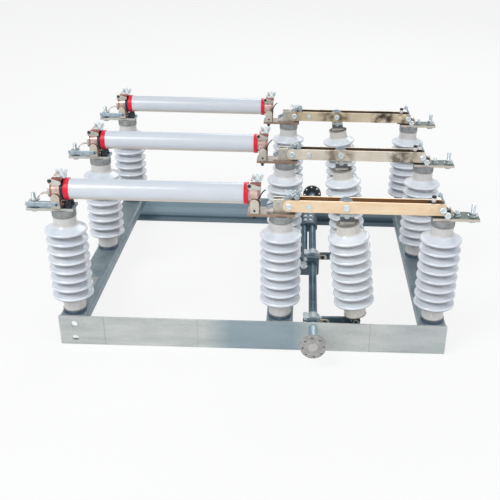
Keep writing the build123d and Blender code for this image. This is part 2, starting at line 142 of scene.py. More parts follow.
def shadeAndMarkColor(tree, color, where, v):
    # facing: a tone where the surface looks along an axis, painted light and shade on most surfaces; zones: a
    # tone between two places in mm, painted shade on some surfaces and real marks on others
    looks = addNode(tree, "ShaderNodeTexCoord").outputs["Normal"]
    looks = addNode(tree, "ShaderNodeSeparateXYZ", {"Vector": looks}).outputs
    places = addNode(tree, "ShaderNodeSeparateXYZ", {"Vector": where}).outputs
    for axis, low, high, tone, hexCode in v.get("facing", ()):
        color = layColor(tree, color, hexCode, looks[axis], low, high, tone)
    for axis, low, high, fade, tone, hexCode in v.get("zones", ()):
        limits = [(places[axis], (low - fade) * mm, low * mm, 0.0, tone),
                  (places[axis], high * mm, (high + fade) * mm, 1.0, 0.0)]
        if "zoneFacing" in v:  # keeps the zones to the faces that look along an axis
            lookAxis, fromLook, toLook = v["zoneFacing"]
            limits.append((looks[lookAxis], fromLook, toLook, 0.0, 1.0))
        if "zoneCloudMm" in v:  # breaks the zones up into smoky patches
            smoke = addNode(tree, "ShaderNodeTexNoise", {
                "Vector": where, "Scale": 1000 / v["zoneCloudMm"], "Detail": 4.0, "Roughness": 0.55,
            })
            limits.append((smoke.outputs["Fac"], 0.38, 0.6, 0.0, 1.0))
        share = 1.0
        for limit in limits:
            part = addNode(tree, "ShaderNodeMapRange", dict(enumerate(limit))).outputs["Result"]
            share = addNode(tree, "ShaderNodeMath", {0: share, 1: part}, operation="MULTIPLY").outputs[0]
        color = layColor(tree, color, hexCode, share)
    return color


def shadedAndWornColor(tree, color, where, v):
    # the facing and zone tones, painted shade and light among them, then corners rubbed bright
    color = shadeAndMarkColor(tree, color, where, v)
    normal, edge = edgeMask(tree, v["edgeMm"])
    return layColor(tree, color, v["edge"], edge, tone=v["edgeTone"]), normal


def metalSurface(name, v):
    # cloudy tone, fine grain along one direction, brighter rubbed corners
    tree, where = newSurface(name)
    light, dark, grainColor = v["tones"]
    clouds = addNode(tree, "ShaderNodeTexNoise", {
        "Vector": where, "Scale": 1000 / v["cloudMm"], "Detail": 5.0, "Roughness": 0.62,
    }).outputs["Fac"]
    along = addNode(tree, "ShaderNodeMapping", {"Vector": where, "Scale": v["grainShape"]}).outputs["Vector"]
    grain = addNode(tree, "ShaderNodeTexNoise", {
        "Vector": along, "Scale": 1000 / v["grainMm"], "Detail": 3.0, "Roughness": 0.5,
    }).outputs["Fac"]
    color = layColor(tree, linearColor(dark), light, clouds, 0.34, 0.66)
    color = layColor(tree, color, grainColor, grain, 0.35, 0.7, v["grainTone"])
    color, normal = shadedAndWornColor(tree, color, where, v)
    closeSurface(tree, color, (grain, 0.3, 0.7, *v["rough"]), (grain, v["bumpMm"] * mm, 0.6, normal),
                 {"Metallic": v["metallic"]})


def galvanisedSurface(name, v):
    # zinc crystals show as flat flakes of slightly different grey, with white bloom in clouds
    tree, where = newSurface(name)
    light, dark, flake = v["tones"]
    warp = addNode(tree, "ShaderNodeTexNoise", {
        "Vector": where, "Scale": 1000 / v["warpSizeMm"], "Detail": 2.0,
    })
    bent = addNode(tree, "ShaderNodeVectorMath", {
        0: where, 1: warp.outputs["Color"], 2: [v["warpMm"] * mm] * 3,
    }, operation="MULTIPLY_ADD")
    flakes = addNode(tree, "ShaderNodeTexVoronoi", {"Vector": bent.outputs[0], "Scale": 1000 / v["flakeMm"]})
    single = addNode(tree, "ShaderNodeSeparateColor", {"Color": flakes.outputs["Color"]}).outputs
    drawn = addNode(tree, "ShaderNodeMapping", {"Vector": where, "Scale": v["bloomShape"]}).outputs["Vector"]
    bloom = addNode(tree, "ShaderNodeTexNoise", {
        "Vector": drawn, "Scale": 1000 / v["bloomMm"], "Detail": 6.0, "Roughness": 0.6,
    }).outputs["Fac"]
    color = layColor(tree, linearColor(dark), light, bloom, 0.32, 0.68)
    color = layColor(tree, color, flake, single["Red"], tone=v["flakeTone"])
    color, normal = shadedAndWornColor(tree, color, where, v)
    closeSurface(tree, color, (single["Green"], 0.0, 1.0, *v["rough"]), (bloom, 0.35 * mm, 0.5, normal),
                 {"Metallic": v["metallic"]})


def porcelainSurface(name, v):
    # fired glaze: hard even gloss, faint orange peel, pooled colour, and bare ground necks
    tree, where = newSurface(name)
    glaze, deep, neck, neckDark = v["tones"]
    own = addNode(tree, "ShaderNodeMapping", {
        "Vector": where, "Location": [p * mm for p in v["origin"]],
        "Rotation": (0.0, math.radians(v["lean"]), 0.0),
    }, vector_type="TEXTURE").outputs["Vector"]
    height = addNode(tree, "ShaderNodeSeparateXYZ", {"Vector": own}).outputs["Z"]
    pooled, specks, peel = [addNode(tree, "ShaderNodeTexNoise", {
        "Vector": where, "Scale": 1000 / sizeMm, "Detail": detail,
    }).outputs["Fac"] for sizeMm, detail in ((60, 3.0), (3, 2.0), (9, 2.0))]
    # the rows' facing tones paint shade and light onto the glaze
    glazed = shadeAndMarkColor(tree, layColor(tree, linearColor(deep), glaze, pooled, 0.3, 0.7), where, v)
    grit = layColor(tree, linearColor(neckDark), neck, specks, 0.35, 0.65)
    ends = [addNode(tree, "ShaderNodeMapRange", {
        0: height, 1: at * mm, 2: (at + step) * mm,
    }).outputs["Result"] for at, step in zip(v["glazed"], (-1.5, 1.5))]
    bare = addNode(tree, "ShaderNodeMath", dict(enumerate(ends)), operation="MAXIMUM").outputs[0]
    color = addNode(tree, "ShaderNodeMix", {0: bare, 6: glazed, 7: grit}, data_type="RGBA").outputs[2]
    closeSurface(tree, color, (bare, 0.0, 1.0, v["rough"], 0.62), (peel, 0.25 * mm, 0.35),
                 {"IOR": 1.52, "Coat Weight": v["coat"], "Coat Roughness": 0.04})


def paintSurface(name, v):
    # brushed-on enamel with a slightly uneven gloss, thin at the corners
    tree, where = newSurface(name)
    light, dark, edgeColor = v["tones"]
    film = addNode(tree, "ShaderNodeTexNoise", {
        "Vector": where, "Scale": 1000 / v["filmMm"], "Detail": 4.0,
    }).outputs["Fac"]
    color = layColor(tree, linearColor(dark), light, film, 0.35, 0.65)
    normal, edge = edgeMask(tree, v["edgeMm"])
    chipped = addNode(tree, "ShaderNodeMath", {0: edge, 1: film}, operation="MULTIPLY").outputs[0]
    color = layColor(tree, color, edgeColor, chipped)
    closeSurface(tree, color, (film, 0.3, 0.7, *v["rough"]), (film, 0.2 * mm, 0.4, normal), {"IOR": 1.5})


def bladeSurface(name, v):
    # drawn copper strip under straw-coloured lacquer, with painted dark shade on the faces that look at each
    # other
    tree, where = newSurface(name)
    light, dark, streak, innerShade = v["tones"]
    along = addNode(tree, "ShaderNodeMapping", {"Vector": where, "Scale": (0.04, 1.0, 1.0)}).outputs["Vector"]
    draw, clouds = [addNode(tree, "ShaderNodeTexNoise", {
        "Vector": vector, "Scale": 1000 / sizeMm, "Detail": detail,
    }).outputs["Fac"] for vector, sizeMm, detail in ((along, 1.6, 3.0), (where, 70, 5.0))]
    color = layColor(tree, linearColor(dark), light, clouds, 0.34, 0.66)
    color = layColor(tree, color, streak, draw, 0.4, 0.75, 0.3)
    across = addNode(tree, "ShaderNodeSeparateXYZ", {"Vector": where}).outputs["Y"]
    across = addNode(tree, "ShaderNodeMath", {0: across, 1: v["y"] * mm}, operation="SUBTRACT").outputs[0]
    across = addNode(tree, "ShaderNodeMath", {0: across}, operation="ABSOLUTE").outputs[0]
    # painted shade on the faces between the two blades of a pair
    color = layColor(tree, color, innerShade, across, 13.6 * mm, 13.1 * mm, v["innerShadeTone"])
    color, normal = shadedAndWornColor(tree, color, where, v)
    closeSurface(tree, color, (draw, 0.3, 0.7, *v["rough"]), (draw, 0.12 * mm, 0.5, normal),
                 {"Metallic": v["metallic"]})


# What a surface of each kind has unless its own row says otherwise
galvanisedBase = {"warpMm": 8.0, "warpSizeMm": 30.0, "flakeTone": 0.25, "flakeMm": 12.0,
    "bloomShape": (1.0, 1.0, 1.0), "edgeMm": 1.2, "edgeTone": 0.55, "metallic": 0.35}
porcelainBase = {"origin": (0.0, 0.0, 0.0), "lean": 0.0, "rough": 0.16, "coat": 0.6}
metalBase = {"grainTone": 0.25, "grainMm": 2.0, "grainShape": (1.0, 1.0, 1.0), "cloudMm": 40.0,
    "edge": "E6E8E8", "edgeMm": 0.8, "edgeTone": 0.5, "rough": (0.28, 0.45), "bumpMm": 0.15, "metallic": 0.8}
paintBase = {"edgeMm": 0.5}
# tones: light, dark, flake
galvanisedRows = {
    # hot-dip galvanised channel, silver-grey, drained in long streaks, with a patch of painted dark blue shade
    # towards the middle, a faint grey-blue patch towards the right end and thin grey weld lines
    "galvanisedWeb": {"tones": ("D3D6D3", "AFB5B3", "DADDDB"), "edge": "E6EAEB", "flakeMm": 11.0,
        "bloomMm": 38.0, "bloomShape": (0.22, 1.0, 1.0), "rough": (0.42, 0.6),
        "zones": [("X", -60.0, 108.0, 70.0, 0.68, "748F9F"), ("X", -404.0, -402.5, 1.0, 0.4, "7E8685"),
        ("X", 318.0, 319.5, 1.0, 0.35, "7E8685"), ("X", -150.0, -148.5, 1.0, 0.25, "7E8685"),
        ("X", 420.0, 540.0, 60.0, 0.25, "8A9AA3")]},
    # the cross channels and the rear one, darker and bluer, with painted dark blue shade on the faces that look
    # forward
    "galvanisedCross": {"tones": ("8F9FA6", "687B84", "9FAEB4"), "edge": "C3CFD6", "flakeTone": 0.4,
        "bloomMm": 70.0, "rough": (0.4, 0.58), "metallic": 0.4,
        "facing": [("Y", -0.4, -0.9, 0.5, "3E5666")]},
    # the rear channel, whose inner face stands in shade: painted dark towards the contacts and along its foot,
    # with a painted pale band of light above the foot and painted blue-grey shade on its upward faces
    "galvanisedRear": {"tones": ("C3C9CA", "9CA7AA", "CDD3D4"), "edge": "DDE3E5", "bloomMm": 40.0,
        "bloomShape": (0.25, 1.0, 1.0), "rough": (0.42, 0.58), "facing": [("Y", -0.3, -0.8, 0.85, "7D98A6"),
        ("Z", 0.6, 0.9, 0.5, "5D7787")], "zoneFacing": ("Y", -0.3, -0.8),
        "zones": [("X", 110.0, 560.0, 40.0, 0.75, "2C4452"), ("Z", 4.0, 13.0, 5.0, 0.7, "2F4B5B"),
        ("Z", 30.0, 44.0, 7.0, 0.3, "B4C6CF")]},
    # galvanised plate of the clamps, dark grey-blue
    "galvanisedBracket": {"tones": ("5E707C", "465663", "74848F"), "edge": "A3AFB7", "edgeMm": 0.9,
        "flakeTone": 0.4, "flakeMm": 8.0, "bloomMm": 35.0, "rough": (0.4, 0.58), "metallic": 0.5},
}
# tones: glaze, pooled glaze, neck, dark grit of the neck; glazed: from and to height
porcelainRows = {
    # glazed electrical porcelain of the posts, bare grey-cream at both necks, with painted warm shade on the
    # faces that look down
    "postPorcelain": {"tones": ("EAF0F7", "D9E2ED", "DDDBDA", "CBC9C8"), "glazed": (130.0, 345.0),
        "facing": [("Z", 0.0, -0.5, 0.9, "776B64")]},
    # the same porcelain on the leaning rods, with the same painted shade on the faces that look down
    "rodPorcelain": {"tones": ("EEF5FB", "E0E9F0", "E0DCD6", "CEC9C2"), "origin": (281.0, 0.0, 78.5),
        "lean": -7.323, "glazed": (51.0, 266.0), "facing": [("Z", 0.0, -0.5, 0.9, "84746A")]},
    # fuse tube porcelain, whiter and a little less glossy; painted light gives its underside a warm tone and
    # its top a bluish one
    "fusePorcelain": {"tones": ("D9DFE6", "D4DAE2", "D8D6D2", "C8C5C0"), "glazed": (0.0, 900.0),
        "rough": 0.24, "coat": 0.35, "facing": [("Z", -0.35, -0.8, 0.8, "DDC7AC"),
        ("Z", 0.8, 0.99, 0.5, "BFCFDE")]},
}
# tones: light, dark, grain
metalRows = {
    # galvanised iron casting, pebbly and matt, with painted shade darkening the faces that look up
    "castCap": {"tones": ("ABACAB", "84898C", "6B7074"), "cloudMm": 18.0, "grainMm": 2.6, "bumpMm": 0.5,
        "rough": (0.5, 0.7), "metallic": 0.5, "facing": [("Z", 0.6, 0.95, 0.5, "4C5B68")]},
    # the same casting at the posts' feet, blue-grey and dull
    "castBase": {"tones": ("66778A", "4C5B6B", "3F4C59"), "edge": "8FA0AE", "cloudMm": 18.0, "grainMm": 2.6,
        "bumpMm": 0.5, "rough": (0.5, 0.7), "metallic": 0.5},
    # cast yoke of the rods, paler, with painted dark shade at its foot and bluish at the top
    "castYoke": {"tones": ("DCDAD5", "AEADA9", "8C8B88"), "cloudMm": 12.0, "grainMm": 2.4, "bumpMm": 0.45,
        "rough": (0.48, 0.66), "metallic": 0.45, "zones": [("Z", 376.0, 388.0, 2.0, 0.8, "30383E"),
        ("Z", 431.0, 460.0, 3.0, 0.75, "7E98AE")]},
    # drilled disc, cast and speckled; the rear disc painted dark as shade
    "castDisc": {"tones": ("C6C4C1", "A4A3A1", "6E6E70"), "cloudMm": 12.0, "grainTone": 0.55, "bumpMm": 0.4,
        "rough": (0.5, 0.72), "metallic": 0.35, "zones": [("Y", 480.0, 535.6, 0.6, 0.9, "2B3A42")]},
    # silver plate of the ferrules
    "silverPlate": {"tones": ("DEDBD2", "C4C0B5", "8A9092"), "grainShape": (0.1, 1.0, 1.0), "metallic": 0.85},
    # spring copper strip, rolled bright, thinly tinned: white highlights over pink
    "tinnedStrip": {"tones": ("E3CFC8", "BC9B91", "94685C"), "edge": "A8665A", "edgeTone": 0.85,
        "edgeMm": 1.4, "cloudMm": 16.0, "grainShape": (1.0, 1.0, 0.08), "rough": (0.18, 0.32),
        "metallic": 0.85, "zones": [("X", -520.0, -507.0, 3.0, 0.7, "94564B"),
        ("X", 14.0, 30.0, 3.0, 0.6, "94564B")]},
    # nickel-plated flat bar, cream
    "creamPlate": {"tones": ("E0D6C8", "C6BAAA", "8A9092"), "edge": "EFE8DC", "grainShape": (1.0, 1.0, 0.1),
        "rough": (0.34, 0.5), "metallic": 0.5},
    # bare copper, reddened and browned by air
    "bareCopper": {"tones": ("A9665C", "7C4340", "5A2F2E"), "edge": "CC8D7E", "cloudMm": 12.0,
        "rough": (0.36, 0.52), "metallic": 0.75},
    # flat copper bar under the hinges, greyed on top and warm on its sawn edge
    "copperBar": {"tones": ("A9A09A", "837A74", "615852"), "edge": "D9B8A2", "grainShape": (0.06, 1.0, 1.0),
        "rough": (0.3, 0.46), "metallic": 0.75, "facing": [("Y", -0.5, -0.9, 0.7, "AD8C76")]},
    # tinned busbar, greened dark grey on top, bare copper where it was sawn
    "tinnedBar": {"tones": ("67736D", "4B5752", "3C4642"), "edge": "DACFC4", "edgeTone": 0.6, "cloudMm": 30.0,
        "grainShape": (0.06, 1.0, 1.0), "rough": (0.42, 0.58), "metallic": 0.35,
        "facing": [("Y", -0.5, -0.9, 0.85, "DDD1C5"), ("Z", -0.5, -0.9, 0.6, "A48E84")]},
    # the outer bars, silver with a dark oxidised top
    "silverBar": {"tones": ("A2B0B5", "74868F", "5C6B73"), "edge": "DCE3E5", "cloudMm": 26.0,
        "grainShape": (0.06, 1.0, 1.0), "rough": (0.3, 0.46), "metallic": 0.6,
        "facing": [("Y", -0.5, -0.9, 0.7, "D9D5C9")]},
    # tinned sheet, warm and soft in its shine
    "tinnedPlate": {"tones": ("D9D1C4", "B9AFA0", "8A9092"), "edge": "EFE9DD", "cloudMm": 20.0,
        "metallic": 0.7},
    # silvered contact jaws, sulphided almost black
    "darkContact": {"tones": ("5E564F", "393330", "282321"), "edge": "A39A90", "cloudMm": 14.0,
        "rough": (0.4, 0.56), "metallic": 0.6},
    # bright zinc with a cold blue cast
    "zincBolt": {"tones": ("D3DCE0", "A9B6BD", "8A9092"), "edge": "F0F4F6", "cloudMm": 9.0, "grainMm": 1.2,
        "rough": (0.24, 0.4), "metallic": 0.85},
    # fresh bright zinc, almost white
    "brightZinc": {"tones": ("E9F1F3", "CBD9DD", "A9B9BF"), "edge": "FAFCFC", "cloudMm": 9.0, "grainMm": 1.2,
        "rough": (0.26, 0.4), "metallic": 0.6},
    # zinc plated strip, light blue-grey
    "zincLink": {"tones": ("BCCAD2", "92A4B0", "8A9092"), "edge": "E2EAEE", "cloudMm": 14.0,
        "metallic": 0.75},
    # zinc plated tube in shade, light again outside the frame
    "zincShaft": {"tones": ("6C8896", "46616F", "334955"), "edge": "A7BCC6", "cloudMm": 50.0,
        "grainShape": (1.0, 0.05, 1.0), "rough": (0.28, 0.46), "metallic": 0.75,
        "zones": [("Y", -600.0, -447.0, 2.0, 0.85, "B9D0DC"), ("Y", -600.0, -542.6, 0.4, 1.0, "C0BEBC"),
        ("Y", 447.0, 600.0, 2.0, 0.85, "B9D0DC"), ("Y", 542.6, 600.0, 0.4, 1.0, "C0BEBC")]},
    # the cranks' plates, painted dark as shade, with a paler hub side
    "zincCrank": {"tones": ("5F7480", "3B4B56", "2A3740"), "edge": "A9B8C2", "cloudMm": 22.0,
        "rough": (0.36, 0.54), "metallic": 0.65, "zones": [("X", 100.0, 186.0, 3.0, 0.9, "BBC7CC")]},
    # oiled black bolts
    "blackBolt": {"tones": ("3F464C", "262C31", "191D21"), "edge": "7C868D", "cloudMm": 10.0,
        "rough": (0.34, 0.5), "metallic": 0.7},
    # bare aluminium plates
    "plainPlate": {"tones": ("B4B8B6", "9DA19F", "8A9092"), "edge": "D8DBDA", "grainShape": (1.0, 0.06, 1.0),
        "rough": (0.34, 0.5), "metallic": 0.7},
    # weld metal under zinc
    "weldMetal": {"tones": ("B7BDC0", "8E979C", "8A9092"), "cloudMm": 8.0, "bumpMm": 0.4,
        "rough": (0.42, 0.6), "metallic": 0.5},
}
# tones: light, dark, corners
paintRows = {
    # red enamel band on the fuse ends
    "redEnamel": {"tones": ("F00534", "DC042E", "F5507A"), "filmMm": 14.0, "rough": (0.3, 0.42)},
    # black enamel on the lower forks
    "blackEnamel": {"tones": ("22282D", "12161A", "6B747B"), "edgeMm": 0.6, "filmMm": 10.0,
        "rough": (0.36, 0.52)},
    # white ceramic sleeve on the contact's stud
    "whiteSleeve": {"tones": ("F1F0EC", "E4E2DC", "FFFFFF"), "filmMm": 8.0, "rough": (0.22, 0.34)},
    # cement between porcelain and casting
    "cement": {"tones": ("A9A79F", "8C8A83", "BDBBB3"), "edgeMm": 0.4, "filmMm": 3.0, "rough": (0.75, 0.9)},
}
# tones: light, dark, streak, painted shade on the faces that look at each other; the pairs at the back are
# darker
bladeRows = {
    # front: light straw-coloured lacquer, one faint brown place
    "front": {"tones": ("FCE6C6", "F1D2AC", "DFBB94", "8D6238"),
        "zones": [("X", 440.0, 480.0, 20.0, 0.2, "8A6846")]},
    # middle: greyer, dark brown at the rod and near the contact
    "middle": {"tones": ("F2EADB", "DCD0BD", "B9AA96", "4E3D2E"),
        "zones": [("X", 205.0, 262.0, 22.0, 0.75, "6B5A45"), ("X", 395.0, 446.0, 26.0, 0.85, "5C4D3B")]},
    # rear: darkest, with smoky patches
    "rear": {"tones": ("EFE0C4", "D3BF9D", "AB9376", "43352A"),
        "zones": [("X", 190.0, 270.0, 22.0, 0.8, "54432F"), ("X", 372.0, 420.0, 22.0, 0.95, "3B2F24"),
        ("X", 455.0, 500.0, 20.0, 0.8, "54432F"), ("X", 92.0, 112.0, 10.0, 0.6, "54432F")]},
}
bladeBase = {"innerShadeTone": 0.92, "edge": "F3E2CB", "edgeMm": 0.9, "edgeTone": 0.5, "zoneCloudMm": 24.0,
    "rough": (0.3, 0.46), "metallic": 0.45}
for make, base, rows in (
    (galvanisedSurface, galvanisedBase, galvanisedRows), (porcelainSurface, porcelainBase, porcelainRows),
    (metalSurface, metalBase, metalRows), (paintSurface, paintBase, paintRows),
):
    for name, row in rows.items():
        make(name, {**base, **row})
for phase, row in bladeRows.items():
    bladeSurface("blade" + phase.capitalize(), {**bladeBase, **row, "y": phaseY[phase]})
print("surfaces:", len(surfaces))

nodeSurfaces = {
    "front_channel": "galvanisedWeb", "rear_channel": "galvanisedRear",
    "left_cross_channel": "galvanisedCross", "middle_cross_channel": "galvanisedCross",
    "right_cross_channel": "galvanisedCross",
    "insulator_bases": "castBase", "insulator_caps": "castCap", "fuse_end_bands": "redEnamel",
    "fuse_ferrules": "silverPlate", "clip_jaws": "tinnedStrip", "clip_straps": "creamPlate",
    "clip_covers": "bareCopper", "outer_terminals": "silverBar", "hinge_bars": "copperBar",
    "contact_terminals": "tinnedBar", "hinge_plates": "tinnedPlate", "hinge_links": "zincLink",
    "fixed_contacts": "darkContact", "operating_shaft": "zincShaft", "shaft_discs": "castDisc",
    "cranks": "zincCrank", "side_tube": "zincShaft", "side_tube_clamps": "galvanisedBracket",
    "nameplate": "plainPlate", "second_plate": "plainPlate",
}
for phase in phaseY:
    for kind in ("fuse", "hinge", "contact"):
        nodeSurfaces[kind + "_insulator_" + phase] = "postPorcelain"
    nodeSurfaces["fuse_tube_" + phase] = "fusePorcelain"
    nodeSurfaces["rod_insulator_" + phase] = "rodPorcelain"
    nodeSurfaces["rod_fork_" + phase] = "blackEnamel"
    nodeSurfaces["rod_yoke_" + phase] = "castYoke"
    nodeSurfaces["blade_pair_" + phase] = "blade" + phase.capitalize()
    nodeSurfaces["blade_bolts_" + phase] = "zincBolt"
for node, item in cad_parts.items():
    for holder in item.material_slots:
        holder.material = surfaces[nodeSurfaces[node]]
print("nodes dressed:", len(nodeSurfaces))


# Mesh tools, all sizes in mm
def turnedForm(mesh, profile, sides, start=(0, 0, 0), axis=(0, 0, 1), spin=0.0):
    # profile: (radius, distance along the axis) from one pole to the other
    place = Vector((0, 0, 1)).rotation_difference(Vector(axis).normalized()).to_matrix().to_4x4()
    place = Matrix.Translation(Vector(start) * mm) @ place
    rings = []
    for radius, along in profile:
        if radius == 0:
            rings.append([mesh.verts.new(place @ Vector((0, 0, along * mm)))])
            continue
        ring = []
        for index in range(sides):
            angle = spin + 2 * math.pi * index / sides
            point = Vector((radius * math.cos(angle), radius * math.sin(angle), along)) * mm
            ring.append(mesh.verts.new(place @ point))
        rings.append(ring)
    for low, high in zip(rings, rings[1:]):
        for index in range(sides):
            after = (index + 1) % sides
            if len(low) == 1:
                mesh.faces.new((low[0], high[index], high[after]))
            elif len(high) == 1:
                mesh.faces.new((low[index], low[after], high[0]))
            else:
                mesh.faces.new((low[index], low[after], high[after], high[index]))


def flatForm(mesh, outline, near, far, plane, soften=0.5):
    # an outline given depth along the axis that its plane leaves out, with softened edges
    place = {
        "XZ": lambda a, b, depth: Vector((a, depth, b)),
        "YZ": lambda a, b, depth: Vector((depth, a, b)),
        "XY": lambda a, b, depth: Vector((a, b, depth)),
    }[plane]
    first = [mesh.verts.new(place(a, b, near) * mm) for a, b in outline]
    last = [mesh.verts.new(place(a, b, far) * mm) for a, b in outline]
    faces = [mesh.faces.new(first), mesh.faces.new(last)]
    for index in range(len(outline)):
        after = (index + 1) % len(outline)
        faces.append(mesh.faces.new((first[index], first[after], last[after], last[index])))
    edges = list({edge for face in faces for edge in face.edges})
    bmesh.ops.bevel(mesh, geom=edges, offset=soften * mm, segments=2, affect="EDGES", profile=0.5)


def stripOutline(path, wall):
    # both sides of a bent strip that follows a path
    outer, inner = [], []
    for index, point in enumerate(path):
        before = Vector(path[max(index - 1, 0)])
        after = Vector(path[min(index + 1, len(path) - 1)])
        along = (after - before).normalized()
        across = Vector((-along.y, along.x)) * wall / 2
        outer.append(tuple(Vector(point) + across))
        inner.append(tuple(Vector(point) - across))
    return outer + inner[::-1]


def diskForm(mesh, radius, low, high, sides, start=(0, 0, 0), axis=(0, 0, 1)):
    turnedForm(mesh, [(0, low), (radius, low), (radius, high), (0, high)], sides, start, axis)


def hexForm(mesh, radius, height, lift=0.0, spin=0.0, start=(0, 0, 0), axis=(0, 0, 1)):
    # hexagon head or nut with rounded corners and a hollow end
    profile = [(0, 0), (0.96, 0), (1, 0.06), (1, 0.86), (0.9, 1), (0.58, 1), (0.54, 0.9), (0, 0.9)]
    profile = [(share * radius, lift + part * height) for share, part in profile]
    turnedForm(mesh, profile, 6, start, axis, spin)


def threadForm(mesh, radius, low, high, pitch, sides, start=(0, 0, 0), axis=(0, 0, 1)):
    # coarser than the real thread, so that it shows
    core = radius * 0.86
    profile = [(0, low), (core, low)]
    at = low
    while at + pitch < high:
        profile += [(radius, at + pitch * 0.4), (core, at + pitch)]
        at += pitch
    turnedForm(mesh, profile + [(radius * 0.8, high), (0, high)], sides, start, axis)


def slabForm(mesh, low, high, soften):
    # a flat block between two corners
    outline = [(low[0], low[1]), (high[0], low[1]), (high[0], high[1]), (low[0], high[1])]
    flatForm(mesh, outline, low[2], high[2], "XY", soften)


def arcPoints(across, rise, radius, degrees):
    angles = [math.radians(step) for step in degrees]
    return [(across + radius * math.cos(angle), rise + radius * math.sin(angle)) for angle in angles]


def closeMesh(name, mesh, surface, sharpAngle=32):
    bmesh.ops.remove_doubles(mesh, verts=mesh.verts, dist=1e-7)
    bmesh.ops.recalc_face_normals(mesh, faces=mesh.faces)
    for face in mesh.faces:
        face.smooth = True
    for edge in mesh.edges:
        edge.smooth = edge.calc_face_angle(0.0) < math.radians(sharpAngle)
    data = bpy.data.meshes.new(name)
    mesh.to_mesh(data)
    mesh.free()
    data.materials.append(surfaces[surface])
    return newObject(name, data)


# The record's material slot that each fitting's surface stands for
surfaceSlots = {
    "zincBolt": "zinc_bolt", "brightZinc": "zinc_bolt", "blackBolt": "black_fork",
    "tinnedStrip": "tinned_copper", "creamPlate": "plated_strap", "silverPlate": "plated_ferrule",
    "bareCopper": "bare_copper",
    "redEnamel": "red_band", "fusePorcelain": "fuse_porcelain", "zincLink": "zinc_link",
    "tinnedPlate": "tinned_plate", "cement": "cast_cap", "whiteSleeve": "glazed_porcelain",
    "weldMetal": "galvanised_channel",
}


def seat(item, surface, body, replaced=(), slotName=None):
    slotName = slotName or surfaceSlots[surface]
    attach(item, body)
    if replaced:
        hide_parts(*replaced)


def addPiece(name, mesh, surface, body="base", replaced=(), slotName=None):
    seat(closeMesh(name, mesh, surface), surface, body, replaced, slotName)


# Geometry Nodes: one shape set on many points, and a row of shapes set on many points
def repeatTree():
    tree = bpy.data.node_groups.new("repeatOnPoints", "GeometryNodeTree")
    sockets = {}
    for label, kind in (
        ("Points", "Geometry"), ("Shape", "Object"), ("Tilt", "Vector"), ("Spin Range", "Vector"),
        ("Seed", "Int"), ("Row Count", "Int"), ("Row Start", "Vector"), ("Row Step", "Vector"),
        ("Finish", "Material"),
    ):
        socket = tree.interface.new_socket(name=label, in_out="INPUT", socket_type="NodeSocket" + kind)
        sockets[label] = socket.identifier
    tree.interface.new_socket(name="Result", in_out="OUTPUT", socket_type="NodeSocketGeometry")
    given = addNode(tree, "NodeGroupInput").outputs
    shape = addNode(tree, "GeometryNodeObjectInfo", {"Object": given["Shape"]})
    row = addNode(tree, "GeometryNodeMeshLine", {
        "Count": given["Row Count"], "Start Location": given["Row Start"], "Offset": given["Row Step"],
    })
    inRow = addNode(tree, "GeometryNodeInstanceOnPoints", {
        "Points": row.outputs["Mesh"], "Instance": shape.outputs["Geometry"],
    })
    chance = addNode(tree, "FunctionNodeRandomValue", {
        1: given["Spin Range"], "Seed": given["Seed"],
    }, data_type="FLOAT_VECTOR")
    chance.inputs[0].default_value = (0.0, 0.0, 0.0)
    spun = addNode(tree, "GeometryNodeRotateInstances", {
        "Instances": inRow.outputs["Instances"], "Rotation": chance.outputs[0], "Local Space": True,
    })
    placed = addNode(tree, "GeometryNodeInstanceOnPoints", {
        "Points": given["Points"], "Instance": spun.outputs["Instances"], "Rotation": given["Tilt"],
    })
    real = addNode(tree, "GeometryNodeRealizeInstances", {"Geometry": placed.outputs["Instances"]})
    done = addNode(tree, "GeometryNodeSetMaterial", {
        "Geometry": real.outputs["Geometry"], "Material": given["Finish"],
    })
    addNode(tree, "NodeGroupOutput", {"Result": done.outputs["Geometry"]})
    return tree, sockets


repeater, repeaterSockets = repeatTree()


def repeatShape(name, shape, points, surface, turn=0, spin=0.0, seed=1, body="base", count=1, pitch=0.0):
    # the shape, or a row of it along X, set on points given in mm and joined to one mesh
    data = bpy.data.meshes.new(name + "Points")
    data.from_pydata([Vector(point) * mm for point in points], [], [])
    carrier = newObject(name + "Points", data)
    modifier = carrier.modifiers.new("repeat", "NODES")
    modifier.node_group = repeater
    for label, value in (
        ("Shape", shape), ("Tilt", (math.radians(turn), 0.0, 0.0)), ("Spin Range", (0.0, 0.0, spin)),
        ("Seed", seed), ("Row Count", count), ("Row Start", (-pitch * (count - 1) / 2 * mm, 0.0, 0.0)),
        ("Row Step", (pitch * mm, 0.0, 0.0)), ("Finish", surfaces[surface]),
    ):
        modifier[repeaterSockets[label]] = value
    bpy.context.view_layer.update()
    evaluated = carrier.evaluated_get(bpy.context.evaluated_depsgraph_get())
    result = bpy.data.meshes.new_from_object(evaluated)
    result.name = name
    carrier.modifiers.clear()
    bpy.data.objects.remove(carrier)
    seat(newObject(name, result), surface, body)


